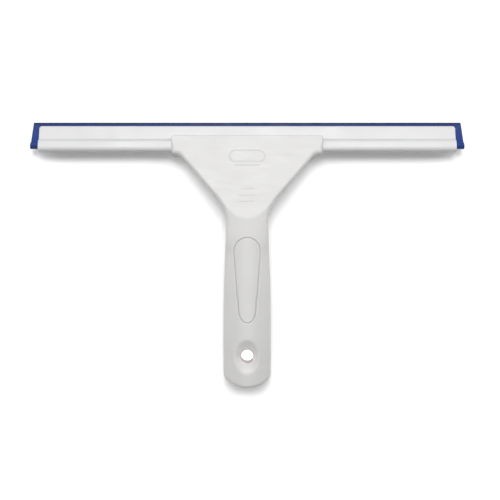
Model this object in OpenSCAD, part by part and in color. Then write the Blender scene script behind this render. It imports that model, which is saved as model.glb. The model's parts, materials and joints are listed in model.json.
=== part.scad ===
// Window cleaning squeegee, lying on its back like a shallow arch: the back of the jaws and
// the butt of the grip touch the table. +X runs along the blade, +Y from the grip to the blade,
// +Z up. The origin is the centre of the bounding box, at table level.

/* [Blade] */
// Length of the rubber blade
rubber_len = 304.8; // [150:0.1:450]
// Height of the rubber from its wiping edge to the middle of its bead
rubber_height = 17.4; // [17:0.1:18]
// Radius of the round bead along the rubber's inner edge
bead_r = 2.55; // [2:0.05:2.6]
// Thickness of the rubber at the wiping edge
edge_t = 1.8; // [1.2:0.1:2.2]
// Thickness of the rubber beside the bead
web_t = 2; // [1.6:0.1:2.1]

/* [Channel] */
// Length of the channel that holds the rubber
channel_len = 295.2; // [140:0.1:440]
// How far the rubber stands out of the channel
rubber_reach = 3.6; // [2.4:0.1:5]
// Thickness of the channel across its two lips
lips_t = 5; // [4.8:0.1:5.2]
// Thickness of the channel's fat back edge
bulge_t = 9.4; // [9:0.1:10.4]
// Radius of the hole inside the channel for the bead
bore_r = 3.1; // [3:0.05:3.2]

/* [Head] */
// Width of the jaws that hold the channel
jaw_w = 105.4; // [90:0.2:120]
// Thickness of the head
head_t = 13.2; // [13:0.2:15]
// Angle of the head against the grip
bend = 14; // [10:1:18]
// Distance from the bend to the wiping edge, along the head
head_len = 70.7; // [69:0.1:76]
// Half the angle between the head's two slanted sides
flank_angle = 39.7; // [38:0.1:42]

/* [Grip] */
// Width of the grip at its widest
grip_w = 32.8; // [30:0.2:36]
// Length of the grip from the bend to the butt
grip_len = 117.4; // [110:0.2:130]
// Height of the grip's front above its middle
grip_front = 7.2; // [6.8:0.1:9]
// Depth of the grip's back below its middle
grip_back = 8.4; // [7.8:0.1:10]
// Diameter of the hanging hole
hang_d = 8.6; // [6:0.2:10]

/* [Hidden] */
$fn = 96;

far = 200;               // longer than any cut needs
skin = 0.01;             // overlap that keeps a cut from leaving a film
past_bend = 3;           // how far the grip's parting cut runs past the bend
head_half = head_t / 2;
wall = 2.4;              // thickness of the shells

// distances from the wiping edge, down the head
u_lips = rubber_reach;
u_shoulder = 13.4;         // where the channel's bulge begins
u_bulge_end = 22;
u_jaw_top = 11.5;
u_jaw_end = 24.2;
u_flank = 26;            // where the slanted sides leave the jaws
u_neck = head_len - 2;   // where the grip takes over
flank_top = 46.2;        // distance of the slanted sides from the middle, up at the jaws
neck_half = 14.4;        // half the neck's width where the grip takes over
neck_blend = 10.1;        // radius where the slanted sides turn into the neck
blend_x = neck_half + neck_blend;
blend_u = u_flank + (flank_top - neck_half) / tan(flank_angle)
          + neck_blend * tan(flank_angle / 2);
jaw_top_edge = 1.2;      // rounding of the jaws towards the wiping edge
jaw_back_edge = 4;
bevel_angle = 52;        // bevels along the slanted sides
bevel_depth = 1.6;

// grip: swept along a long arc, so it bows slightly along its length
arch_r = 700;
arch_v = -grip_len / 2;  // crown of the arch
side_r = 1500;           // plan radius of the grip's sides
side_v = -88;            // where the grip is widest
butt_r = 22.7;             // plan radius of the butt
butt_edge = 4;           // rounding of the butt seen from the side
butt_over = 0.05;        // how far that rounding starts outside the faces
front_crown = 40;        // radius of the front across the grip
back_crown = 24;

// hanging hole and the dishes around it
hang_s = -37;          // along the arch from its crown
dish_r = 28;             // each dish is part of a ball
dish_depth = 2.4;
tube_wall = 2;           // wall of the tube that lines the hole

// thumb pad: an egg with its blunt end towards the head
pad_s_top = 35.2;        // its blunt end's centre, along the arch from its crown
pad_r = 9.15;
pad_tip_r = 4.8;
pad_len = 58.9;
pad_side_r = 210;        // plan radius of its sides
pad_floor = 5.3;         // radial height of the pocket's floor above the arch
pad_gap = 0.45;
pad_above = 20;          // height of the pocket's cutting shape
stub_r = 1.45;
stub_len = 1.4;
pad_stubs = [30, 6];     // distances of the two stubs below the blunt end's centre

// screws
screw_r = 1.4;
screw_head_r = 2.8;
screw_head_t = 1.9;
head_screw_len = 8;
grip_screw_len = 10;
head_screw_at = [[-33, 31], [33, 31], [0, 40]];   // across, and down from the wiping edge
grip_screw_at = [50, -19];                        // along the arch from its crown
head_seat = 3.6;         // depth of the screw seats behind the parting face
grip_seat = 6.2;
boss_r = 3.8;
sink_r = 3.2;            // radius of the sunk holes for the screw heads

// hollow inside the shells
hollow_top = 3.7;        // its highest point in the grip, below the floor of the pad's pocket
side_wall_extra = 0.4;   // extra wall along the slanted sides
jaw_wall = 1.4;          // wall between the head's hollow and the jaws
hollow_reach = 2;        // how far the head's hollow runs into the grip's

screw_gap = 0.3;         // clearance round a screw in the back shell
screw_bite = 0.02;       // clearance round a screw in the front shell
screw_tip = 0.8;         // length of a screw's pointed tip
cross_len = 3;           // slots of the screws' cross recess
cross_w = 0.8;
cross_depth = 1.8;

// ribs inside the head: two slanted ones and one down the middle
rib_t = 1.6;
rib_gap = 2;             // what the ribs leave free of the head's thickness
side_rib = [13, 10, 30]; // across, down from the top of the slanted sides, and length
side_rib_angle = 24;
mid_rib = [56, 20];      // down from the wiping edge, and length

clip_len = 11;
clip_t = 0.3;            // thickness of the clip's wall
clip_gap = 0.03;
clip_mouth = 3.8;        // opening of the clip, where the web passes
clip_inset = 0.5;        // distance of the clip from the end of the channel
notch_w = 12;            // notch in the channel that stops it from sliding in the jaws
notch_depth = 1.1;
key_gap = 0.2;           // clearance of the back shell's rib in that notch
key_root = 0.6;          // how far that rib is rooted in the shell
lip_gap = 0.1;           // clearance between the channel's lips and the jaws
slot_gap = 0.3;          // clearance of the rubber's web in the channel

// ---- where the head and the grip lie --------------------------------------------------------

bend_z = sqrt(arch_r * arch_r - arch_v * arch_v) - arch_r;
edge_y = head_len * cos(bend);
edge_z = bend_z - head_len * sin(bend);

// Centres of the two roundings that touch the table, on the butt and on the jaws
butt_s = arch_v + butt_edge;
butt_turn = butt_s / arch_r * 180 / PI;
butt_low = butt_edge - grip_back - butt_over;
butt_top = grip_front - butt_edge + butt_over;
butt_low_y = arch_v + (arch_r + butt_low) * sin(butt_turn);
butt_low_z = (arch_r + butt_low) * cos(butt_turn) - arch_r;
butt_top_y = arch_v + (arch_r + butt_top) * sin(butt_turn);
butt_top_z = (arch_r + butt_top) * cos(butt_turn) - arch_r;
foot_u = u_jaw_top + jaw_top_edge;
foot_w = jaw_top_edge - head_half;
foot_y = edge_y - foot_u * cos(bend) + foot_w * sin(bend);
foot_z = edge_z + foot_u * sin(bend) + foot_w * cos(bend);

// Corners of the wiping edge
corner_y = edge_y - edge_t / 2 * sin(bend);
corner_z = edge_z - edge_t / 2 * cos(bend);
front_corner_y = edge_y + edge_t / 2 * sin(bend);
front_corner_z = edge_z + edge_t / 2 * cos(bend);

// The tilt that brings both down to the table together
span_y = foot_y - butt_low_y;
span_z = foot_z - butt_low_z;
span = sqrt(span_y * span_y + span_z * span_z);
tilt = asin((jaw_top_edge - butt_edge) / span) - atan2(span_z, span_y);
lift = jaw_top_edge - foot_y * sin(tilt) - foot_z * cos(tilt);
y_high = max(corner_y * cos(tilt) - corner_z * sin(tilt),
             front_corner_y * cos(tilt) - front_corner_z * sin(tilt));
y_low = min(butt_low_y * cos(tilt) - butt_low_z * sin(tilt),
            butt_top_y * cos(tilt) - butt_top_z * sin(tilt)) - butt_edge;

// ---- placing ----------------------------------------------------------------------------------

// From the grip's own frame to the table
module on_table() {
    translate([0, -(y_high + y_low) / 2, lift])
        rotate([tilt, 0, 0])
            children();
}

// Head frame: origin on the wiping edge, -Y down the head, +Z out of its front
module on_head() {
    translate([0, edge_y, edge_z])
        rotate([-bend, 0, 0])
            children();
}

// Grip frame at a distance s along the arch, +Z out of its front
module on_grip(s) {
    translate([0, arch_v, -arch_r])
        rotate([-s / arch_r * 180 / PI, 0, 0])
            translate([0, 0, arch_r])
                children();
}

// A profile drawn in Y and Z, run along X and centred
module along_x(len) {
    rotate([90, 0, 90])
        translate([0, 0, -len / 2])
            linear_extrude(len)
                children();
}

// A section drawn as height above the arch and distance across, swept along the arch
module along_arch(s_low, s_high) {
    per_degree = arch_r * PI / 180;
    translate([0, arch_v, -arch_r])
        rotate([90, 0, 90])
            rotate([0, 0, 90 - s_high / per_degree])
                rotate_extrude(angle = (s_high - s_low) / per_degree, $fn = 720)
                    translate([arch_r, 0])
                        children();
}

// ---- outlines -----------------------------------------------------------------------------------

module rounded_rect(y_from, y_to, half_z, r) {
    translate([y_from + r, -half_z])
        square([y_to - y_from - 2 * r, 2 * half_z]);
    translate([y_from, -half_z + r])
        square([y_to - y_from, 2 * (half_z - r)]);
    for (y = [y_from + r, y_to - r], z = [-half_z + r, half_z - r])
        translate([y, z])
            circle(r);
}

// Cross-section of the grip, drawn as height and width
module grip_section(inset) {
    intersection() {
        translate([grip_front - front_crown, 0])
            circle(front_crown - inset);
        translate([back_crown - grip_back, 0])
            circle(back_crown - inset);
        square([far, grip_w - 2 * inset], center = true);
    }
}

// Plan of the grip, in the plane of the arch's crown
module grip_plan(inset) {
    intersection() {
        intersection_for(side = [-1, 1])
            translate([side * (side_r - grip_w / 2), side_v])
                circle(side_r - inset, $fn = 720);
        union() {
            translate([0, -grip_len + butt_r])
                circle(butt_r - inset);
            translate([-far / 2, -grip_len + butt_r])
                square([far, far]);
        }
    }
}

// Plan of the head below the jaws: two slanted sides that run into the neck
function neck_arc(inset) = [
    for (i = [0:8])
        let (a = flank_angle * (1 - i / 8))
            [blend_x - (neck_blend + inset) * cos(a), -blend_u + (neck_blend + inset) * sin(a)]
];

module head_plan(inset) {
    start_x = flank_top - inset / cos(flank_angle);
    for (side = [0, 1])
        mirror([side, 0])
            polygon(concat(
                [[0, -u_jaw_end + 2], [start_x, -u_jaw_end + 2], [start_x, -u_flank]],
                neck_arc(inset),
                [[neck_half - inset, -u_neck], [0, -u_neck]]
            ));
}

// Egg outline of the thumb pad, origin at the centre of its blunt end
module egg(inset) {
    tip_y = -(pad_len - pad_r - pad_tip_r);
    circle(pad_r - inset);
    translate([0, tip_y])
        circle(pad_tip_r - inset);
    intersection() {
        intersection_for(side = [-1, 1])
            translate([side * (pad_side_r - pad_r), 0])
                circle(pad_side_r - inset, $fn = 360);
        translate([-far / 2, tip_y])
            square([far, -tip_y]);
    }
}

// ---- outer form of the handle -----------------------------------------------------------------

// Jaws that wrap the channel's back edge
module jaws() {
    along_x(jaw_w)
        intersection() {
            rounded_rect(-u_jaw_end, -u_jaw_top, head_half, jaw_top_edge);
            rounded_rect(-u_jaw_end, 0, head_half, jaw_back_edge);
        }
}

// Bevel along one slanted side, front and back
module flank_bevels() {
    for (side = [0, 1], face = [0, 1])
        mirror([side, 0, 0])
            mirror([0, 0, face])
                translate([flank_top, -u_flank, head_half])
                    rotate([0, 0, -flank_angle])
                        rotate([0, bevel_angle, 0])
                            translate([-far / 2, -far / 2, -bevel_depth])
                                cube([far, far, far]);
}

module head_form() {
    on_head() {
        jaws();
        difference() {
            translate([0, 0, -head_half])
                linear_extrude(head_t)
                    head_plan(0);
            flank_bevels();
        }
    }
}

// Keeps everything behind the plane of the head's front
module behind_head_front() {
    on_head()
        translate([-far, -2 * far, head_half - 2 * far])
            cube([2 * far, 3 * far, 2 * far]);
}

module grip_form() {
    intersection() {
        along_arch(arch_v - 2, -arch_v + 10)
            grip_section(0);
        on_grip(butt_s)
            translate([0, grip_len - butt_edge, -far / 2])
                linear_extrude(far)
                    grip_plan(0);
        on_grip(butt_s)
            along_x(far) {
                translate([0, -far / 2])
                    square([far, far]);
                translate([-butt_edge, butt_low])
                    square([butt_edge + skin, butt_top - butt_low]);
                for (height = [butt_low, butt_top])
                    translate([0, height])
                        circle(butt_edge);
            }
        behind_head_front();
    }
}

module handle_form() {
    head_form();
    grip_form();
}

// Everything in front of the parting face, which follows the arch and then the head
module front_side() {
    difference() {
        translate([-far / 2, -far, -far / 2])
            cube([far, far + past_bend, far]);
        translate([0, arch_v, -arch_r])
            rotate([0, 90, 0])
                cylinder(r = arch_r, h = 2 * far, center = true, $fn = 720);
    }
    on_head()
        translate([-far / 2, -far, 0])
            cube([far, 2 * far, far / 2]);
}

// ---- hollows and bosses ------------------------------------------------------------------------

// The hollow inside the two shells
module hollow() {
    intersection() {
        along_arch(-20, -arch_v + 2 * hollow_reach)
            intersection() {
                grip_section(wall);
                translate([-far / 2 + hollow_top, 0])
                    square([far, far], center = true);
            }
        translate([0, 0, -far / 2])
            linear_extrude(far)
                grip_plan(wall);
        on_head()
            translate([-far, -2 * far, head_half - wall - 2 * far])
                cube([2 * far, 3 * far, 2 * far]);
    }
    on_head()
        translate([0, 0, -head_half + wall])
            linear_extrude(head_t - 2 * wall)
                intersection() {
                    head_plan(wall + side_wall_extra);
                    translate([-far / 2, -head_len - hollow_reach])
                        square([far, head_len + hollow_reach - u_flank - jaw_wall]);
                }
}

module at_head_screws() {
    on_head()
        for (p = head_screw_at)
            translate([p[0], -p[1], 0])
                children();
}

module at_grip_screws() {
    for (s = grip_screw_at)
        on_grip(s)
            children();
}

// Pillars for the screws, from face to face
module bosses() {
    at_head_screws()
        cylinder(r = boss_r, h = head_t - wall, center = true);
    at_grip_screws()
        translate([0, 0, -grip_back + wall / 2])
            cylinder(r = boss_r, h = grip_back + grip_front - wall);
}

// Stiffening ribs across the head
module ribs() {
    on_head() {
        for (side = [-1, 1])
            translate([side * side_rib[0], -u_flank - side_rib[1], 0])
                rotate([0, 0, side * side_rib_angle])
                    cube([rib_t, side_rib[2], head_t - rib_gap], center = true);
        translate([0, -mid_rib[0], 0])
            cube([rib_t, mid_rib[1], head_t - rib_gap], center = true);
    }
}

// The slot that the channel's back edge is clamped in
module channel_seat() {
    on_head() {
        along_x(far)
            translate([-u_bulge_end, -bulge_t / 2])
                square([u_bulge_end - u_shoulder, bulge_t]);
        along_x(far)
            translate([-u_shoulder - skin, -lips_t / 2 - lip_gap])
                square([u_shoulder, lips_t + 2 * lip_gap]);
    }
}

module hollows_with_bosses() {
    difference() {
        hollow();
        bosses();
        ribs();
    }
    channel_seat();
}

// The ball that sinks a dish around the hanging hole
module dish_ball() {
    translate([0, 0, dish_r - dish_depth])
        sphere(dish_r);
}

module dishes() {
    on_grip(hang_s) {
        translate([0, 0, grip_front])
            dish_ball();
        translate([0, 0, -grip_back])
            mirror([0, 0, 1])
                dish_ball();
    }
}

module pad_place() {
    on_grip(pad_s_top)
        children();
}

module pad_pocket(inset) {
    intersection() {
        pad_place()
            linear_extrude(pad_above)
                egg(inset);
        along_arch(-30, 50)
            translate([pad_floor, -pad_above])
                square([pad_above, 2 * pad_above]);
    }
}

module pad_stub_pins(r, depth) {
    pad_place()
        for (d = pad_stubs)
            translate([0, -d, pad_floor - depth])
                cylinder(r = r, h = depth + pad_gap);
}

// ---- sub-parts -----------------------------------------------------------------------------------

// Front half of the handle, with the pocket for the thumb pad and the tube of the hanging hole
module front_shell() {
    color("whitesmoke")
        on_table() {
            difference() {
                intersection() {
                    handle_form();
                    front_side();
                }
                hollows_with_bosses();
                dishes();
                pad_pocket(0);
                pad_stub_pins(stub_r + 0.05, stub_len + 1.6);
                on_grip(hang_s)
                    cylinder(d = hang_d, h = far, center = true);
                at_head_screws()
                    translate([0, 0, -1])
                        cylinder(r = screw_r + screw_bite, h = head_screw_len - head_seat + 1.2);
                at_grip_screws()
                    translate([0, 0, -1])
                        cylinder(r = screw_r + screw_bite, h = grip_screw_len - grip_seat + 1.2);
            }
            hang_tube();
        }
}

// Tube that lines the hanging hole down to the back
module hang_tube() {
    depth = grip_back - dish_depth;
    on_grip(hang_s)
        translate([0, 0, -depth])
            difference() {
                cylinder(r = hang_d / 2 + tube_wall, h = depth + 1);
                translate([0, 0, -1])
                    cylinder(d = hang_d, h = depth + 3);
            }
}

// Back half of the handle, with the screw holes and the rib that locates the channel
module rear_shell() {
    color("gainsboro")
        on_table() {
            difference() {
                handle_form();
                front_side();
                hollows_with_bosses();
                dishes();
                on_grip(hang_s)
                    cylinder(r = hang_d / 2 + tube_wall, h = far, center = true);
                at_head_screws() {
                    cylinder(r = screw_r + screw_gap, h = far / 4, center = true);
                    translate([0, 0, -head_seat - far / 4])
                        cylinder(r = sink_r, h = far / 4);
                }
                at_grip_screws() {
                    cylinder(r = screw_r + screw_gap, h = far / 4, center = true);
                    translate([0, 0, -grip_seat - far / 4])
                        cylinder(r = sink_r, h = far / 4);
                }
            }
            on_head()
                along_x(notch_w - 2 * key_gap)
                    translate([-u_bulge_end - key_root, -bulge_t / 2 + key_root])
                        square([key_root + notch_depth - key_gap, bulge_t / 2 - key_root - 4 * key_gap]);
        }
}

// Inlay in the front of the grip
module thumb_pad() {
    color("white")
        on_table() {
            intersection() {
                pad_pocket(pad_gap);
                along_arch(-30, 50)
                    grip_section(0);
            }
            pad_stub_pins(stub_r, stub_len);
        }
}

// Plastic channel: two lips, and a fat back edge with a hole for the bead
module blade_channel() {
    color("whitesmoke")
        on_table()
            on_head()
                difference() {
                    along_x(channel_len)
                        difference() {
                            union() {
                                rounded_rect(-u_shoulder - 2, -u_lips, lips_t / 2, 0.6);
                                rounded_rect(-u_bulge_end, -u_shoulder, bulge_t / 2, 2.6);
                            }
                            translate([-rubber_height, 0])
                                circle(bore_r);
                            translate([-rubber_height, -web_t / 2 - slot_gap])
                                square([rubber_height, web_t + 2 * slot_gap]);
                        }
                    along_x(notch_w)
                        translate([-u_bulge_end - 1, -bulge_t / 2])
                            square([1 + notch_depth, bulge_t / 2]);
                }
}

// Rubber blade: a bead in the channel, a web between the lips and a square-cut wiping edge
module rubber_blade() {
    color("royalblue")
        on_table()
            on_head()
                along_x(rubber_len) {
                    translate([-rubber_height, 0])
                        circle(bead_r);
                    polygon([
                        [0, -edge_t / 2],
                        [0, edge_t / 2],
                        [-rubber_height, web_t / 2],
                        [-rubber_height, -web_t / 2]
                    ]);
                }
}

// Spring clip that grips the bead just inside one end of the channel
module end_clip(side) {
    color("goldenrod")
        on_table()
            on_head()
                translate([side * (channel_len / 2 - clip_len / 2 - clip_inset), -rubber_height, 0])
                    along_x(clip_len)
                        difference() {
                            circle(bead_r + clip_t);
                            circle(bead_r + clip_gap);
                            translate([0, -clip_mouth / 2])
                                square([2 * bead_r, clip_mouth]);
                        }
}

module left_end_clip() {
    end_clip(-1);
}

module right_end_clip() {
    end_clip(1);
}

// Pan-head screw, head down, its seat at z = 0
module screw(len) {
    difference() {
        translate([0, 0, -screw_head_t])
            cylinder(r = screw_head_r, h = screw_head_t);
        for (turn = [0, 90])
            rotate([0, 0, turn])
                translate([0, 0, -screw_head_t])
                    cube([cross_len, cross_w, cross_depth], center = true);
    }
    cylinder(r = screw_r, h = len - screw_tip);
    translate([0, 0, len - screw_tip])
        cylinder(r1 = screw_r, r2 = screw_r / 2, h = screw_tip);
}

module head_screws() {
    color("silver")
        on_table()
            at_head_screws()
                translate([0, 0, -head_seat])
                    screw(head_screw_len);
}

module grip_screws() {
    color("silver")
        on_table()
            at_grip_screws()
                translate([0, 0, -grip_seat])
                    screw(grip_screw_len);
}

front_shell();
rear_shell();
thumb_pad();
blade_channel();
rubber_blade();
left_end_clip();
right_end_clip();
head_screws();
grip_screws();
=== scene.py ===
"""Looks of the window cleaning squeegee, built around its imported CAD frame.

Shapes are worked out in millimetres in the grip's own frame: x across, y up the grip towards the
blade, z out of the grip's front. place() turns them into the row's frame, in metres.
"""
import json
import math

import bpy
import numpy as np
from mathutils import Matrix, Vector


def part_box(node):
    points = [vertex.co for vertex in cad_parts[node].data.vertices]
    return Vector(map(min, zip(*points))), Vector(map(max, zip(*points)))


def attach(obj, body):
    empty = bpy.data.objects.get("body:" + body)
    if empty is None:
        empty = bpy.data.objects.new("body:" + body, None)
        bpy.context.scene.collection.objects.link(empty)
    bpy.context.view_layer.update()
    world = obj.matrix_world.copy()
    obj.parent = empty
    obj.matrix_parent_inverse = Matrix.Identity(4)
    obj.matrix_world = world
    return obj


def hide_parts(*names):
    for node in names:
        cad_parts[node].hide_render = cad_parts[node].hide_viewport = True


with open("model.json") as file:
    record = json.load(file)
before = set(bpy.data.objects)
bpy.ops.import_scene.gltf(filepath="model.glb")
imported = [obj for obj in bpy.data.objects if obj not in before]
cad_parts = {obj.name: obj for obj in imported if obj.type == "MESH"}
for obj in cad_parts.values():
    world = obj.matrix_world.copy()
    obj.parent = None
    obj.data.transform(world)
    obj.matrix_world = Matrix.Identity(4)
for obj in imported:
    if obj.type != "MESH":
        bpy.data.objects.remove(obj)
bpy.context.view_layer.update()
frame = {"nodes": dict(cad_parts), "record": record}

MM = 0.001

# ---- sizes of the handle, in millimetres ---------------------------------------------------------

BEND = math.radians(14)          # head against grip
HEAD_LEN = 70.7                  # bend to wiping edge, down the head
HEAD_HALF = 6.6                  # half the head's thickness
GRIP_LEN = 117.4
GRIP_HALF_W = 16.6
GRIP_FRONT = 7.2
GRIP_BACK = 8.4
FRONT_CROWN = 32.0
NECK_LOWER = 0.3                 # the grip's front sinks by this much across the neck
NECK_FLATTER = 44.0              # and the radius of its crown grows by this much
BACK_CROWN = 24.0
ARCH_R = 700.0                   # the grip bows along this long arc
ARCH_Y = -GRIP_LEN / 2
SIDE_R = 1500.0                  # plan radius of the grip's sides
SIDE_Y = -88.0
BUTT_R = 22.7
JAW_HALF_W = 51.8
U_LIPS = 3.4                     # u runs down the head from the wiping edge
U_SHOULDER = 14.5
U_BULGE_END = 22.3
U_JAW_TOP = 13.7
U_JAW_END = 24.2
U_FLANK = 26.0
FLANK_TOP = 45.5
FLANK_ANGLE = math.radians(39.7)
HANG_S = -37.0                   # s runs along the arch from its crown
HANG_R = 4.3
PEEP_H = 150.0                   # height of the small lamp over the hole
DISH_R = 28.0                    # the dish round the hanging hole is part of a ball
DISH_DEPTH = 2.4
PAD_TOP_S = 35.2                 # centre of the egg's blunt end
PAD_R = 9.15
PAD_LOW_S = -7.85                # centre of the smaller circle that its sides run down to
PAD_LOW_R = 6.0
PAD_TIP_R = 17.0                 # its tip is closed by two arcs
PAD_TIP_S = -3.2
PAD_TIP_HALF_W = 6.5
PAD_FLOOR = 5.3                  # height of the inlay's underside
PAD_GAP = 0.05                   # between the inlay and the outline of its pocket
BULGE_LEAN = 0.2                 # the channel's back edge slopes in towards its back
GROOVE_R = 0.95                  # half the width of the groove round the egg
GROOVE_FLAT = 1.7                # its depth is this much less
HEAD_SCREWS = [(-33.0, 31.0), (33.0, 31.0), (0.0, 40.0)]
GRIP_SCREWS = [50.0, -19.0]
HEAD_SEAT = 3.6                  # the screws' seats are this far behind the parting face
GRIP_SEAT = 6.2
SINK_R = 3.2                     # radius of the sunk holes over the screws
RUBBER_HEIGHT = 17.4
BEAD_R = 2.55
BORE_R = 3.1
BULGE_HALF = 4.7
LIPS_HALF = 2.5
WEB_HALF = 1.0
EDGE_HALF = 0.9
EDGE_WORN = 0.45                 # how far the wiping edge is worn back

DRAFT = 0.15                     # the head's sides slope in towards its back
DRAFT_FROM = -4.6                # and have their stated width at this height
NECK_BLEND = 6.5                 # soft joint of the slanted flanks and the grip's sides
BUTT_ROUND = 2.4                 # rounding between the sides and the butt
JAW_BLEND = 2.6                  # soft joint of the jaws and the panel
JAW_EASE = 0.9                   # corner radius of the jaws
DISH_EASE = 0.6                  # rounding of the dish's rim
HOLE_EASE = 1.2                  # rounding of the hanging hole's rim
SEAT_EASE = 0.4                  # rounding of the channel's seat and the screw holes
PART_EASE = 0.25                 # rounding along the parting line
EDGE_R = 1.2                     # rounding of the handle's edges at the top of the jaws
JAW_EDGE_MORE = 1.8              # added to it further down the jaws
FLANK_EDGE_LESS = 0.7            # and taken off it past the jaws
BELLY_BLEND = 7.0                # soft joint of the head's back and the grip's back
RELIEF = 0.2                     # height of the marks on the panel
MARK_SOFT = 0.3                  # half the width over which a mark's edge falls
FRAME_U = 27.4                   # the frame's centre, half width, half height and radius
FRAME_HALF_X = 12.3
FRAME_HALF_U = 4.1
FRAME_R = 3.9
FRAME_LINE = 0.42                # half the width of the frame's line
BAR_U = 34.0
BAR_HALF_X = 8.6
BAR_HALF_U = 0.4
LINES = ((51.4, 4.7), (56.1, 5.6), (60.5, 4.9))   # place and half length of the three lines
LINE_HALF_U = 0.36
LINE_SHARE = 0.7                 # the lines' height against the frame's

LIP_R = 1.15                     # rounding of the lips' ends
LIP_EASE = 0.15                  # the lips' inner corner is cut back by this much
STEP_IN_R = 1.4                  # the step's hollow and its round
STEP_OUT_R = 2.6
BULGE_R = 2.8                    # rounding of the channel's back edge
WEB_GAP = 0.3                    # between the web and each lip
CHANNEL_EDGE = 0.3               # eased end edges, and the lips' rounded corners
CHANNEL_CORNER = 1.8
RUBBER_EASE = 0.18
CUT_EASE = 0.12                  # the worn corners of the wiping edge
RUBBER_FLARE = 1.5               # how far the rubber's ends slant over its height
FLARE_FROM = 0.25                # share of the height at which the rubber has its stated length
WEB_FLARE = 1.25                 # the web is this much wider where it meets the bead

# ---- from the grip's frame to the row's frame ----------------------------------------------------

BEND_Z = math.sqrt(ARCH_R ** 2 - ARCH_Y ** 2) - ARCH_R
EDGE_Y = HEAD_LEN * math.cos(BEND)
EDGE_Z = BEND_Z - HEAD_LEN * math.sin(BEND)

mounts = {m["name"]: m for m in frame["record"]["mounts"]}
edge_pos = Vector(mounts["wiping_edge"]["pos_m"])
edge_out = Vector(mounts["wiping_edge"]["axis"])
TILT = BEND - math.atan2(-edge_out.z, edge_out.y)
TURN = Matrix.Rotation(TILT, 3, "X")
SHIFT = edge_pos - TURN @ Vector((0, EDGE_Y, EDGE_Z)) * MM


def place(points):
    """Points in the grip's frame, in millimetres, as points in the row's frame, in metres."""
    return np.asarray(points) @ (np.array(TURN).T * MM) + np.array(SHIFT)


def turn(vectors):
    return np.asarray(vectors) @ np.array(TURN).T


def head_to_grip(x, u, w):
    """A point at u down the head and w out of its front, in the grip's frame."""
    c, s = math.cos(BEND), math.sin(BEND)
    return np.stack(np.broadcast_arrays(x, EDGE_Y - u * c + w * s, EDGE_Z + u * s + w * c), axis=-1)


# ---- distances -----------------------------------------------------------------------------------

def smooth_min(a, b, k):
    h = np.maximum(k - np.abs(a - b), 0) / k
    return np.minimum(a, b) - h * h * k / 4


def smooth_max(a, b, k):
    return -smooth_min(-a, -b, k)


def round_max(a, b, r):
    """Intersection of two solids whose common edge gets a round of radius r."""
    return (np.minimum(np.maximum(a, b), -r)
            + np.hypot(np.maximum(a + r, 0), np.maximum(b + r, 0)))


def smooth_step(low, high, t):
    t = np.clip((t - low) / (high - low), 0, 1)
    return t * t * (3 - 2 * t)


def box2(a, b, half_a, half_b, r=0.0):
    da = np.abs(a) - half_a + r
    db = np.abs(b) - half_b + r
    return np.hypot(np.maximum(da, 0), np.maximum(db, 0)) + np.minimum(np.maximum(da, db), 0) - r


def head_coords(p):
    c, s = math.cos(BEND), math.sin(BEND)
    dy = p[..., 1] - EDGE_Y
    dz = p[..., 2] - EDGE_Z
    return p[..., 0], dz * s - dy * c, dy * s + dz * c


def grip_coords(p):
    dy = p[..., 1] - ARCH_Y
    dz = p[..., 2] + ARCH_R
    return ARCH_R * np.arctan2(dy, dz), np.hypot(dy, dz) - ARCH_R


def egg(x, s):
    """Distance to the outline of the thumb pad."""
    ax = np.abs(x)
    drop = PAD_TOP_S - PAD_LOW_S
    lean = (PAD_R - PAD_LOW_R) / drop
    rise = math.sqrt(1 - lean ** 2)
    y = PAD_TOP_S - s
    along = y * rise - ax * lean
    side = ax * rise + y * lean - PAD_R
    body = np.where(along < 0, np.hypot(x, y) - PAD_R,
                    np.where(along > drop * rise, np.hypot(x, y - drop) - PAD_LOW_R, side))
    across = np.hypot(x, 0.8) + PAD_TIP_R - PAD_TIP_HALF_W
    tip = np.hypot(across, np.minimum(s - PAD_TIP_S, 0)) - PAD_TIP_R
    return np.where(s > PAD_TIP_S + 6, body, smooth_max(body, tip, 1.2))


def plan(x, u, q):
    """Distance to the outline of the handle seen from the front. q runs along the grip from the bend."""
    ax = np.abs(x)
    flank = (ax - FLANK_TOP + (u - U_FLANK) * math.tan(FLANK_ANGLE)) * math.cos(FLANK_ANGLE)
    neck = ax - GRIP_HALF_W + (q - SIDE_Y) ** 2 / (2 * SIDE_R)
    sides = smooth_min(flank, neck, NECK_BLEND)
    butt_y = q + GRIP_LEN - BUTT_R
    butt = np.where(butt_y < 0, np.hypot(ax, butt_y) - BUTT_R, np.minimum(ax - BUTT_R, -butt_y))
    below_jaws = np.maximum(np.maximum(sides, ax - JAW_HALF_W + JAW_EASE), U_JAW_TOP + JAW_EASE - u)
    tail = round_max(below_jaws, butt, BUTT_ROUND)
    jaw_mid = (U_JAW_TOP + U_JAW_END) / 2
    jaw = box2(x, u - jaw_mid, JAW_HALF_W, (U_JAW_END - U_JAW_TOP) / 2, JAW_EASE)
    return smooth_min(tail, jaw, JAW_BLEND)


def bar(x, u, mid_u, half_x, half_u):
    """1 inside a small raised bar on the panel, falling to 0 round it."""
    return 1 - smooth_step(-MARK_SOFT, MARK_SOFT, box2(x, u - mid_u, half_x, half_u, min(half_x, half_u)))


def relief(x, u):
    """Height of the plain moulded marks on the panel: a frame with a bar below it, and three lines."""
    ring = np.abs(box2(x, u - FRAME_U, FRAME_HALF_X, FRAME_HALF_U, FRAME_R)) - FRAME_LINE
    marks = 1 - smooth_step(-MARK_SOFT, MARK_SOFT, ring)
    marks = np.maximum(marks, bar(x, u, BAR_U, BAR_HALF_X, BAR_HALF_U))
    for line_u, half in LINES:
        marks = np.maximum(marks, LINE_SHARE * bar(x, u, line_u, half, LINE_HALF_U))
    return RELIEF * marks


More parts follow.
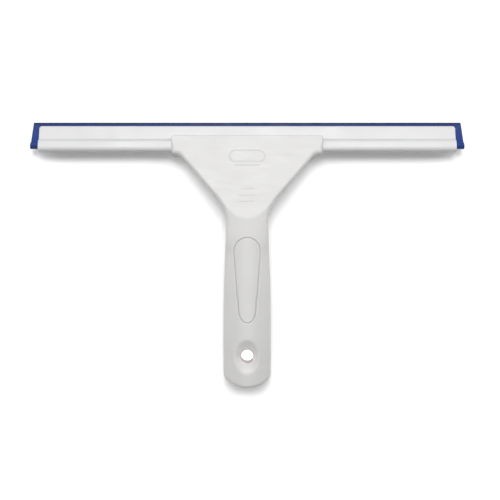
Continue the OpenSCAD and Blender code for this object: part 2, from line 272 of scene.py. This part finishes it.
def handle(p):
    """Distance to the whole handle, both shells together."""
    x, u, w = head_coords(p)
    s, h = grip_coords(p)
    q = s + ARCH_Y
    panel = w - HEAD_HALF - relief(x, u)
    crown_r = FRONT_CROWN + NECK_FLATTER * smooth_step(-26, -8, q)
    top = GRIP_FRONT - NECK_LOWER * smooth_step(-26, -6, q)
    crown = np.hypot(x, h - top + crown_r) - crown_r
    crown = crown - 1.1 * np.maximum(q - 8, 0)
    front = smooth_max(panel, crown, 0.2)
    belly = np.hypot(x, h + GRIP_BACK - BACK_CROWN) - BACK_CROWN
    belly = belly + 0.6 * np.maximum(q - 6, 0)
    back = smooth_min(-w - HEAD_HALF, belly, BELLY_BLEND)
    edge_r = EDGE_R + JAW_EDGE_MORE * smooth_step(15.5, 21.5, u) - FLANK_EDGE_LESS * smooth_step(24, 28, u)
    lean = DRAFT * (np.clip(w, -HEAD_HALF, HEAD_HALF) - DRAFT_FROM) * smooth_step(-6, 10, q)
    body = round_max(plan(x, u, q) - lean, front, edge_r)
    body = round_max(body, back, edge_r + 0.4 * smooth_step(52, 70, u))
    seat = box2(u - (U_SHOULDER + U_BULGE_END) / 2, w, (U_BULGE_END - U_SHOULDER) / 2 + 0.1,
                BULGE_HALF + 0.1, 2.5)
    mouth = box2(u, w, U_SHOULDER + 1, LIPS_HALF + 0.12)
    body = smooth_max(body, -np.minimum(seat, mouth), SEAT_EASE)
    for top, sign in ((GRIP_FRONT, 1), (GRIP_BACK, -1)):
        ball = np.sqrt(x ** 2 + (s - HANG_S) ** 2 + (sign * h - top + DISH_DEPTH - DISH_R) ** 2) - DISH_R
        body = smooth_max(body, -ball, DISH_EASE)
    return smooth_max(body, HANG_R - np.hypot(x, s - HANG_S), HOLE_EASE)


def parting(p):
    """Height above the face where the two shells meet."""
    _, _, w = head_coords(p)
    _, h = grip_coords(p)
    return np.maximum(h, w)


def front_shell(p):
    s, h = grip_coords(p)
    pocket = np.maximum(egg(p[..., 0], s), PAD_FLOOR - h)
    body = round_max(GROOVE_FLAT * handle(p), -pocket, GROOVE_R)
    return round_max(body, -parting(p), PART_EASE)


def rear_shell(p):
    x, u, w = head_coords(p)
    s, h = grip_coords(p)
    body = handle(p)
    for at_x, at_u in HEAD_SCREWS:
        sink = np.maximum(np.hypot(x - at_x, u - at_u) - SINK_R, w + HEAD_SEAT)
        body = smooth_max(body, -sink, SEAT_EASE)
    for at_s in GRIP_SCREWS:
        sink = np.maximum(np.hypot(x, s - at_s) - SINK_R, h + GRIP_SEAT)
        body = smooth_max(body, -sink, SEAT_EASE)
    return round_max(body, parting(p), PART_EASE)


def thumb_pad(p):
    s, h = grip_coords(p)
    crown = np.hypot(p[..., 0], h - GRIP_FRONT + FRONT_CROWN) - FRONT_CROWN
    body = round_max(egg(p[..., 0], s) + PAD_GAP, GROOVE_FLAT * crown, GROOVE_R)
    return np.maximum(body, PAD_FLOOR - h)


# ---- a mesh from a distance ----------------------------------------------------------------------

def gradient(solid, p, step=0.02):
    g = np.empty_like(p)
    for axis in range(3):
        d = np.zeros(3)
        d[axis] = step
        g[:, axis] = solid(p + d) - solid(p - d)
    return g / np.maximum(np.linalg.norm(g, axis=1, keepdims=True), 1e-9)


def settle(solid, p, steps=3):
    """Moves points onto the solid's surface."""
    for _ in range(steps):
        d = np.clip(solid(p), -0.25, 0.25)
        p = p - d[:, None] * gradient(solid, p)
    return p


def middle_z(y):
    """Height of the parting face in the grip's frame."""
    arch = np.sqrt(ARCH_R ** 2 - (y - ARCH_Y) ** 2) - ARCH_R
    return np.where(y < 0, arch, BEND_Z - y * math.tan(BEND))


def net(solid, x_range, y_range, m_range, step):
    """Vertices and quads of a solid, from a grid that follows the parting face."""
    axes = [np.arange(low, high + step, step) for low, high in (x_range, y_range, m_range)]
    gx, gy, gm = np.meshgrid(*axes, indexing="ij")
    grid = np.stack((gx, gy, middle_z(gy) + gm), axis=-1)
    value = np.stack([solid(slab) for slab in grid])
    value = np.where(value == 0, 1e-6, value)
    inside = value < 0
    cells = np.zeros(tuple(n - 1 for n in value.shape), dtype=np.int8)
    corners = [(i, j, k) for i in (0, 1) for j in (0, 1) for k in (0, 1)]
    nx, ny, nz = cells.shape
    for i, j, k in corners:
        cells += inside[i:i + nx, j:j + ny, k:k + nz]
    active = np.argwhere((cells > 0) & (cells < 8))
    number = np.full(cells.shape, -1, dtype=np.int64)
    number[tuple(active.T)] = np.arange(len(active))
    total = np.zeros((len(active), 3))
    count = np.zeros(len(active))
    for a in corners:
        for axis in range(3):
            if a[axis]:
                continue
            b = list(a)
            b[axis] = 1
            ia = tuple((active + a).T)
            ib = tuple((active + b).T)
            va, vb = value[ia], value[ib]
            cross = (va < 0) != (vb < 0)
            t = np.where(cross, va / np.where(cross, va - vb, 1), 0)[:, None]
            total += np.where(cross[:, None], grid[ia] * (1 - t) + grid[ib] * t, 0)
            count += cross
    points = total / count[:, None]
    quads = []
    for axis in range(3):
        lower = [slice(1, -1)] * 3
        upper = [slice(1, -1)] * 3
        lower[axis] = slice(0, -1)
        upper[axis] = slice(1, None)
        base = np.argwhere(inside[tuple(lower)] != inside[tuple(upper)])
        offset = np.ones(3, dtype=int)
        offset[axis] = 0
        base = base + offset
        side_a, side_b = [n for n in range(3) if n != axis]
        ring = []
        for da, db in ((-1, -1), (0, -1), (0, 0), (-1, 0)):
            cell = base.copy()
            cell[:, side_a] += da
            cell[:, side_b] += db
            ring.append(number[tuple(cell.T)])
        ring = np.stack(ring, axis=1)
        flip = inside[tuple(base.T)] == (axis == 1)
        ring[flip] = ring[flip][:, ::-1]
        quads.append(ring)
    return settle(solid, points), np.concatenate(quads)


def new_object(name, points, faces):
    mesh = bpy.data.meshes.new(name)
    mesh.from_pydata([tuple(v) for v in points], [], [tuple(int(i) for i in f) for f in faces])
    mesh.validate()
    mesh.update()
    piece = bpy.data.objects.new(name, mesh)
    bpy.context.scene.collection.objects.link(piece)
    return piece


def shrink(piece, ratio):
    """Collapses the mesh to a share of its faces, and applies that."""
    modifier = piece.modifiers.new("thin", "DECIMATE")
    modifier.ratio = ratio
    modifier.use_collapse_triangulate = True
    evaluated = piece.evaluated_get(bpy.context.evaluated_depsgraph_get())
    mesh = bpy.data.meshes.new_from_object(evaluated)
    piece.modifiers.clear()
    piece.data = mesh


def moulded(name, solid, x_range, y_range, m_range, step, ratio):
    """A piece whose surface is the solid's, with true normals."""
    points, faces = net(solid, x_range, y_range, m_range, step)
    piece = new_object(name, points, faces)
    shrink(piece, ratio)
    mesh = piece.data
    flat = np.empty(len(mesh.vertices) * 3)
    mesh.vertices.foreach_get("co", flat)
    points = settle(solid, flat.reshape(-1, 3), 2)
    normals = turn(gradient(solid, points, 0.04))
    mesh.vertices.foreach_set("co", place(points).ravel())
    mesh.update()
    mesh.shade_smooth()
    mesh.normals_split_custom_set_from_vertices([tuple(n) for n in normals])
    return piece


# ---- lengths run along the blade -----------------------------------------------------------------

def arc(cu, cw, r, start, end, count):
    """Points of an arc in the head's u and w, its angles in degrees."""
    angles = np.radians(np.linspace(start, end, count))
    return [(cu + r * math.cos(a), cw + r * math.sin(a)) for a in angles]


def inset_profile(profile, amount):
    """The closed profile moved inwards, corner by corner."""
    p = np.array(profile)
    forward = np.roll(p, -1, axis=0) - p
    forward /= np.linalg.norm(forward, axis=1, keepdims=True)
    normal = np.stack((-forward[:, 1], forward[:, 0]), axis=1)
    before = np.roll(normal, 1, axis=0)
    bisector = normal + before
    bisector /= np.maximum(np.sum(bisector * normal, axis=1, keepdims=True), 0.3)
    return p + bisector * amount


def run_along(name, profile, half_len, edge, corner=0.0, flare=0.0):
    """The profile run along the blade.

    Its end edges are eased by edge, the lips' corners rounded, and its ends slant by flare.
    """
    profile = [a for a, b in zip(profile, profile[1:] + profile[:1]) if math.dist(a, b) > 1e-4]
    area = sum(a[0] * b[1] - b[0] * a[1] for a, b in zip(profile, profile[1:] + profile[:1]))
    if area < 0:
        profile = profile[::-1]
    start = min(u for u, _ in profile)
    turns = np.radians(np.linspace(0, 90, 9))
    ends = sorted({0.0, edge * 0.3, edge} | {round(corner * (1 - math.sin(a)), 4) for a in turns})
    rings = []
    for side in (-1, 1):
        for gap in (ends if side < 0 else ends[::-1]):
            ring = inset_profile(profile, edge * (1 - math.sqrt(1 - max(0.0, 1 - gap / edge) ** 2)))
            if corner:
                back = corner - math.sqrt(corner ** 2 - max(0.0, corner - gap) ** 2)
                ring[:, 0] += back * np.clip((start + 4 - ring[:, 0]) / 4, 0, 1)
            reach = half_len - gap + flare * (ring[:, 0] / RUBBER_HEIGHT - FLARE_FROM)
            rings.append(head_to_grip(side * reach, ring[:, 0], ring[:, 1]))
    n = len(profile)
    faces = []
    for r in range(len(rings) - 1):
        for i in range(n):
            j = (i + 1) % n
            faces.append((r * n + i, (r + 1) * n + i, (r + 1) * n + j, r * n + j))
    faces.append(tuple(range(n)))
    faces.append(tuple(reversed(range((len(rings) - 1) * n, len(rings) * n))))
    piece = new_object(name, place(np.concatenate(rings)), faces)
    mesh = piece.data
    mesh.shade_smooth()
    mesh.set_sharp_from_angle(angle=math.radians(38))
    return piece


def mirrored(half):
    """The same points on the back of the head, run the other way."""
    return [(u, -w) for u, w in reversed(half)]


def build_channel(half_len):
    """The channel: lips, a step, and the fat back edge round the bead's hole."""
    gap = WEB_HALF + WEB_GAP
    outer = arc(U_LIPS + LIP_R, LIPS_HALF - LIP_R, LIP_R, 165, 90, 8)
    outer += arc(U_SHOULDER - 1.5, LIPS_HALF + STEP_IN_R, STEP_IN_R, 270, 318, 6)
    outer += arc(U_SHOULDER + 1.9, BULGE_HALF - STEP_OUT_R, STEP_OUT_R, 138, 90, 8)
    outer += arc(U_BULGE_END - BULGE_R, BULGE_HALF - BULGE_R, BULGE_R, 90, 0, 12)
    start = math.degrees(math.asin(gap / BORE_R))
    bore = arc(RUBBER_HEIGHT, 0, BORE_R, 0, 180 - start, 22)
    inner = bore[1:] + [(U_LIPS + LIP_EASE, gap)]
    profile = outer + mirrored(outer) + mirrored(inner) + [(RUBBER_HEIGHT + BORE_R, 0.0)] + inner
    profile = [(u + BULGE_LEAN * w * smooth_step(RUBBER_HEIGHT + 1, U_BULGE_END, u), w)
               for u, w in profile]
    return run_along("channel_bar", profile, half_len, CHANNEL_EDGE, CHANNEL_CORNER)


def build_rubber(half_len):
    """Bead, web that widens to a shoulder, and the square-cut wiping edge."""
    join = math.degrees(math.asin(WEB_HALF * WEB_FLARE / BEAD_R))
    bead = arc(RUBBER_HEIGHT, 0, BEAD_R, 180 - join, join - 180, 30)
    web = [(RUBBER_HEIGHT - BEAD_R - 0.7, -WEB_HALF), (U_LIPS + 1, -WEB_HALF),
           (EDGE_WORN + CUT_EASE, -EDGE_HALF), (EDGE_WORN, -EDGE_HALF + CUT_EASE)]
    profile = bead + web + mirrored(web)
    return run_along("blue_rubber_strip", profile, half_len, RUBBER_EASE, flare=RUBBER_FLARE)


# ---- materials -----------------------------------------------------------------------------------

class Nodes:
    """A short way to write a material's node tree."""

    def __init__(self, name):
        self.material = bpy.data.materials.new(name)
        self.material.use_nodes = True
        self.tree = self.material.node_tree
        self.shader = self.tree.nodes["Principled BSDF"]
        self.coord = self.add("ShaderNodeTexCoord").outputs["Object"]

    def add(self, kind, links=(), **values):
        node = self.tree.nodes.new(kind)
        for key, value in values.items():
            setattr(node, key, value)
        for socket, source in dict(links).items():
            self.tree.links.new(source, node.inputs[socket])
        return node

    def noise(self, scale, detail=4.0, roughness=0.5, stretch=None):
        vector = self.coord
        if stretch:
            mapping = self.add("ShaderNodeMapping", {"Vector": vector})
            mapping.inputs["Scale"].default_value = stretch
            vector = mapping.outputs[0]
        node = self.add("ShaderNodeTexNoise", {"Vector": vector})
        node.inputs["Scale"].default_value = scale
        node.inputs["Detail"].default_value = detail
        node.inputs["Roughness"].default_value = roughness
        return node.outputs["Fac"]

    def spread(self, source, low, high, from_low=0.3, from_high=0.7):
        node = self.add("ShaderNodeMapRange", {"Value": source})
        node.inputs["From Min"].default_value = from_low
        node.inputs["From Max"].default_value = from_high
        node.inputs["To Min"].default_value = low
        node.inputs["To Max"].default_value = high
        return node.outputs["Result"]

    def mix(self, factor, a, b):
        """Colour between a and b, each a colour or a socket."""
        node = self.tree.nodes.new("ShaderNodeMix")
        node.data_type = "RGBA"
        for index, value in ((6, a), (7, b)):
            if isinstance(value, tuple):
                node.inputs[index].default_value = value
            else:
                self.tree.links.new(value, node.inputs[index])
        self.tree.links.new(factor, node.inputs[0])
        return node.outputs[2]

    def bump(self, height, strength, distance, normal=None):
        node = self.add("ShaderNodeBump", {"Height": height})
        node.inputs["Strength"].default_value = strength
        node.inputs["Distance"].default_value = distance
        if normal:
            self.tree.links.new(normal, node.inputs["Normal"])
        return node.outputs["Normal"]

    def plug(self, **sources):
        for key, source in sources.items():
            socket = self.shader.inputs[key.replace("_", " ")]
            if isinstance(source, (int, float, tuple)):
                socket.default_value = source
            else:
                self.tree.links.new(source, socket)


def plastic(name, light, shade, rough, grain):
    """Moulded plastic: a soft mottle, painted highlight on convex edges and painted shade in recesses,
    worn gloss, and a fine grain.
    """
    n = Nodes(name)
    cloud = n.noise(38, 5, 0.55)
    fine = n.noise(900, 3, 0.6)
    base = n.mix(n.spread(cloud, 0, 1), light, shade)
    point = n.add("ShaderNodeNewGeometry").outputs["Pointiness"]
    # Convex edges are painted lighter than the plastic: a painted highlight.
    edges = n.spread(point, 0, 0.5, 0.52, 0.62)
    # Recesses are painted darker than the plastic: painted shade.
    painted_hollow_shade = n.spread(point, 0.6, 0, 0.40, 0.49)
    base = n.mix(edges, base, tuple(min(1.15 * c, 1) for c in light[:3]) + (1,))
    base = n.mix(painted_hollow_shade, base, tuple(0.78 * c for c in shade[:3]) + (1,))
    scuff = n.noise(60, 6, 0.7, (1, 6, 1))
    worn = n.spread(scuff, rough - 0.05, rough + 0.09, 0.35, 0.7)
    bumps = n.bump(fine, grain, 0.00012)
    bumps = n.bump(n.noise(140, 4, 0.5), 0.05, 0.0004, bumps)
    n.plug(Base_Color=base, Roughness=worn, Normal=bumps, IOR=1.49)
    n.shader.inputs["Subsurface Weight"].default_value = 0.06
    n.shader.inputs["Subsurface Radius"].default_value = (0.004, 0.004, 0.0035)
    n.shader.inputs["Subsurface Scale"].default_value = 0.3
    return n.material


def extruded_plastic(name):
    """Extruded plastic: smoother, with faint draw lines along its length."""
    n = Nodes(name)
    cloud = n.noise(22, 4, 0.5)
    lines = n.noise(520, 2, 0.4, (0.004, 1, 1))
    base = n.mix(n.spread(cloud, 0, 1), (0.486, 0.486, 0.488, 1), (0.466, 0.466, 0.468, 1))
    # Convex edges are painted lighter than the plastic: a painted highlight.
    point = n.add("ShaderNodeNewGeometry").outputs["Pointiness"]
    base = n.mix(n.spread(point, 0, 0.6, 0.53, 0.64), base, (0.55, 0.55, 0.545, 1))
    gloss = n.spread(n.noise(75, 5, 0.65), 0.30, 0.42, 0.35, 0.68)
    bumps = n.bump(lines, 0.12, 0.0002)
    bumps = n.bump(n.noise(700, 2, 0.5), 0.05, 0.0001, bumps)
    n.plug(Base_Color=base, Roughness=gloss, Normal=bumps, IOR=1.5)
    return n.material


def rubber(name):
    """Blue rubber: painted shade along the wiping edge, and paler dust in patches."""
    n = Nodes(name)
    # A band along the wiping edge is painted almost black: painted shade.
    cut = (place(head_to_grip(0.0, 2.1, 0.0)[None])[0] + place(head_to_grip(0.0, 1.5, 0.0)[None])[0]) / 2
    axis = -edge_out
    dot = n.add("ShaderNodeVectorMath", {0: n.coord}, operation="DOT_PRODUCT")
    dot.inputs[1].default_value = tuple(axis)
    start = float(np.dot(cut, np.array(axis)))
    down = n.spread(dot.outputs["Value"], 0, 1, start - 0.0012, start + 0.0012)
    cloud = n.noise(55, 5, 0.6)
    body = n.mix(n.spread(cloud, 0, 1), (0.009, 0.028, 0.145, 1), (0.012, 0.037, 0.18, 1))
    base = n.mix(down, (0.003, 0.006, 0.03, 1), body)
    dust = n.spread(n.noise(240, 4, 0.7), 0, 0.12, 0.55, 0.8)
    base = n.mix(dust, base, (0.06, 0.09, 0.21, 1))
    lines = n.noise(800, 2, 0.4, (0.01, 1, 1))
    bumps = n.bump(lines, 0.15, 0.0001)
    bumps = n.bump(n.noise(1300, 2, 0.5), 0.1, 0.00008, bumps)
    gloss = n.spread(n.noise(120, 4, 0.6), 0.42, 0.58, 0.35, 0.7)
    n.plug(Base_Color=base, Roughness=gloss, Normal=bumps, IOR=1.52)
    n.shader.inputs["Specular IOR Level"].default_value = 0.2
    return n.material


def metal(name, light, dark, rough):
    """Plated metal with fine brushing and a little tarnish."""
    n = Nodes(name)
    cloud = n.noise(600, 5, 0.6)
    base = n.mix(n.spread(cloud, 0, 1), light, dark)
    gloss = n.spread(n.noise(1500, 4, 0.6), rough - 0.06, rough + 0.14)
    n.plug(Base_Color=base, Roughness=gloss, Normal=n.bump(n.noise(2500, 3, 0.5), 0.12, 0.00004),
           Metallic=1.0)
    return n.material


def studio_floor(name):
    """Pale paper, evenly toned."""
    n = Nodes(name)
    base = n.mix(n.spread(n.noise(9, 3, 0.5), 0, 1), (0.93, 0.93, 0.93, 1), (0.915, 0.915, 0.915, 1))
    n.plug(Base_Color=base, Roughness=0.95, Normal=n.bump(n.noise(600, 3, 0.5), 0.05, 0.0002))
    return n.material


def finish_with(piece, material):
    piece.data.materials.clear()
    piece.data.materials.append(material)


# ---- pieces --------------------------------------------------------------------------------------

WHITE = (0.502, 0.499, 0.491, 1)
GRIP_SHADE = (0.479, 0.476, 0.468, 1)
PAD_SHADE = (0.481, 0.478, 0.470, 1)
grip_plastic = plastic("grip_plastic", WHITE, GRIP_SHADE, 0.42, 0.22)
pad_plastic = plastic("pad_plastic", WHITE, PAD_SHADE, 0.40, 0.16)

# Each piece is sampled on a grid that has to reach past it on all sides
GRID_ROOM = 1.5
HALF = JAW_HALF_W + DRAFT * (HEAD_HALF - DRAFT_FROM) + GRID_ROOM
X_RANGE = (-HALF, HALF)
Y_RANGE = (-GRIP_LEN - 1.6, 61.0)
FRONT_RANGE = (-0.61, 10.2)      # from the parting face
REAR_RANGE = (-12.6, 0.61)
PAD_X_RANGE = (-9.8, 9.8)
PAD_Y_RANGE = (-75.0, -12.5)
PAD_RANGE = (4.4, 8.0)
STEP = 0.4
PAD_STEP = STEP * 0.75
SHELL_KEEP = 0.4                 # share of the faces that are kept
PAD_KEEP = 0.5

front = moulded("handle_front", front_shell, X_RANGE, Y_RANGE, FRONT_RANGE, STEP, SHELL_KEEP)
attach(front, "handle")
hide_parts("front_shell")
finish_with(front, grip_plastic)

rear = moulded("handle_rear", rear_shell, X_RANGE, Y_RANGE, REAR_RANGE, STEP, SHELL_KEEP)
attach(rear, "handle")
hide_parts("rear_shell")
finish_with(rear, grip_plastic)

pad = moulded("thumb_inlay", thumb_pad, PAD_X_RANGE, PAD_Y_RANGE, PAD_RANGE, PAD_STEP, PAD_KEEP)
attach(pad, "handle")
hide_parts("thumb_pad")
finish_with(pad, pad_plastic)

channel_low, channel_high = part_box("blade_channel")
channel = build_channel((channel_high[0] - channel_low[0]) / 2 / MM)
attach(channel, "handle")
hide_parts("blade_channel")
finish_with(channel, extruded_plastic("channel_plastic"))

rubber_low, rubber_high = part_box("rubber_blade")
strip = build_rubber((rubber_high[0] - rubber_low[0]) / 2 / MM)
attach(strip, "blade")
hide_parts("rubber_blade")
finish_with(strip, rubber("blue_rubber"))

brass = metal("clip_brass", (0.72, 0.53, 0.22, 1), (0.60, 0.42, 0.17, 1), 0.32)
steel = metal("screw_steel", (0.66, 0.67, 0.69, 1), (0.54, 0.55, 0.58, 1), 0.3)
for node, material in (("left_end_clip", brass), ("right_end_clip", brass),
                       ("head_screws", steel), ("grip_screws", steel)):
    finish_with(frame["nodes"][node], material)

# ---- stage ---------------------------------------------------------------------------------------

FLOOR_SIZE = 6.0
SKY_FILL = 0.07                  # light from all round
SKY_SEEN = 0.7                   # what the camera sees of the backdrop beyond the floor
KEY_POWER = 2.0
KEY_SOFTNESS = math.radians(30)
KEY_TO = (0.0, -0.6, -1.25)      # the way the key light shines
PEEP_SIZE = 1.4                  # width of the small lamp against the hole's radius
PEEP_SPREAD = math.radians(2)
PEEP_POWER = 0.0022
SENSOR = 36
LENS = 69.3
CAMERA_AT = (1.96, -22.4, 667.4)   # in the grip's frame, in millimetres
# Each softbox faces the middle of the stage: its place, its size and its power
SOFTBOXES = {
    "back": ((0.0, 1.0, 1.0), (1.4, 0.5), 2.4),
    "overhead": ((0.0, -0.32, 1.35), (0.5, 0.5), 4.8),
    "left": ((-1.0, 0.45, 0.6), (0.5, 0.8), 6.2),
    "right": ((1.0, 0.45, 0.6), (0.5, 0.8), 6.2),
    "front": ((0.0, -1.0, 0.8), (1.0, 0.6), 0.9),
}

bpy.ops.mesh.primitive_plane_add(size=FLOOR_SIZE)
floor = bpy.context.object
floor.name = "floor"
finish_with(floor, studio_floor("floor_paper"))

world = bpy.data.worlds.new("studio")
bpy.context.scene.world = world
world.use_nodes = True
sky = world.node_tree.nodes["Background"]
sky.inputs[0].default_value = (1, 1, 1, 1)
seen = world.node_tree.nodes.new("ShaderNodeMath")
seen.operation = "MULTIPLY_ADD"
seen.inputs[1].default_value = SKY_SEEN
seen.inputs[2].default_value = SKY_FILL
rays = world.node_tree.nodes.new("ShaderNodeLightPath")
world.node_tree.links.new(rays.outputs["Is Camera Ray"], seen.inputs[0])
world.node_tree.links.new(seen.outputs[0], sky.inputs[1])
bpy.context.scene.view_settings.view_transform = "Standard"


def softbox(name, at, size, power):
    light = bpy.data.lights.new(name, "AREA")
    light.shape = "RECTANGLE"
    light.size, light.size_y = size
    light.energy = power
    lamp = bpy.data.objects.new(name, light)
    lamp.location = at
    lamp.rotation_euler = (-Vector(at)).to_track_quat("-Z", "Y").to_euler()
    bpy.context.scene.collection.objects.link(lamp)


key = bpy.data.lights.new("key", "SUN")
key.energy = KEY_POWER
key.angle = KEY_SOFTNESS
key_lamp = bpy.data.objects.new("key", key)
key_lamp.rotation_euler = Vector(KEY_TO).to_track_quat("-Z", "Y").to_euler()
bpy.context.scene.collection.objects.link(key_lamp)
for name, (at, size, power) in SOFTBOXES.items():
    softbox(name, at, size, power)

# A narrow beam down the hanging hole, so the floor is seen through it
hole = place(np.array([(0.0, ARCH_Y + (ARCH_R + PEEP_H) * math.sin(HANG_S / ARCH_R),
                        (ARCH_R + PEEP_H) * math.cos(HANG_S / ARCH_R) - ARCH_R)]))[0]
peep = bpy.data.lights.new("peep", "AREA")
peep.shape = "DISK"
peep.size = PEEP_SIZE * HANG_R * MM
peep.spread = PEEP_SPREAD
peep.energy = PEEP_POWER
peep_lamp = bpy.data.objects.new("peep", peep)
peep_lamp.location = hole
peep_lamp.rotation_euler = (TURN @ Matrix.Rotation(-HANG_S / ARCH_R, 3, "X")).to_euler()
bpy.context.scene.collection.objects.link(peep_lamp)

# The camera looks square onto the grip, from the height where the blade spans the frame as shown
camera_data = bpy.data.cameras.new("camera")
camera = bpy.data.objects.new("camera", camera_data)
bpy.context.scene.collection.objects.link(camera)
bpy.context.scene.camera = camera
camera_data.sensor_width = SENSOR
camera_data.lens = LENS
camera.location = place(np.array([CAMERA_AT]))[0]
camera.rotation_euler = TURN.to_euler()
